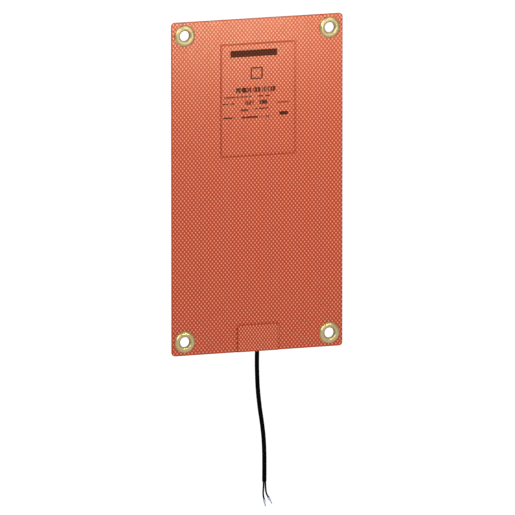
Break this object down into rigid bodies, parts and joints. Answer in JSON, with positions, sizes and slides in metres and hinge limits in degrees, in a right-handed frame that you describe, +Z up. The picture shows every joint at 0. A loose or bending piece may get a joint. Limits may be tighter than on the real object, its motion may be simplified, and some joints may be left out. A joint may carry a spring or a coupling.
{
  "type": "enclosure heater mat",
  "caption": "Flat orange silicone rubber heater mat with a brass eyelet at each corner and a short two-core cable from its bottom edge.",
  "frame": {"origin": "centre of the mat's back face, which lies against the wall", "axes": "+X to the right seen from the front, +Y out of the back towards the wall, +Z up along the mat's length"},
  "size_m": [0.2, 0.0089, 0.5523],
  "materials": {
    "silicone_cloth": "matt orange-red silicone with pale glass cloth showing through as dots",
    "moulded_silicone": "smooth matt moulded silicone",
    "etched_foil": "dull rolled foil",
    "brass": "polished pressed brass",
    "black_sheath": "satin black",
    "core_insulation": "satin black",
    "collar_plastic": "satin pale blue",
    "tinned_copper": "tinned, slightly dull"
  },
  "bodies": {
    "root": {"back_sheet": "silicone_cloth", "cable_sheath": "black_sheath", "core_left": "core_insulation", "core_right": "core_insulation", "core_tail_left": "core_insulation", "core_tail_right": "core_insulation", "eyelet_bottom_left": "brass", "eyelet_bottom_right": "brass", "eyelet_top_left": "brass", "eyelet_top_right": "brass", "ferrule_collar_left": "collar_plastic", "ferrule_collar_right": "collar_plastic", "ferrule_pin_left": "tinned_copper", "ferrule_pin_right": "tinned_copper", "front_sheet": "silicone_cloth", "heating_element": "etched_foil", "label_panel": "silicone_cloth", "lead_cap": "moulded_silicone", "lead_patch": "silicone_cloth", "splice_left": "tinned_copper", "splice_right": "tinned_copper", "washer_bottom_left": "brass", "washer_bottom_right": "brass", "washer_top_left": "brass", "washer_top_right": "brass"}
  },
  "joints": []
}
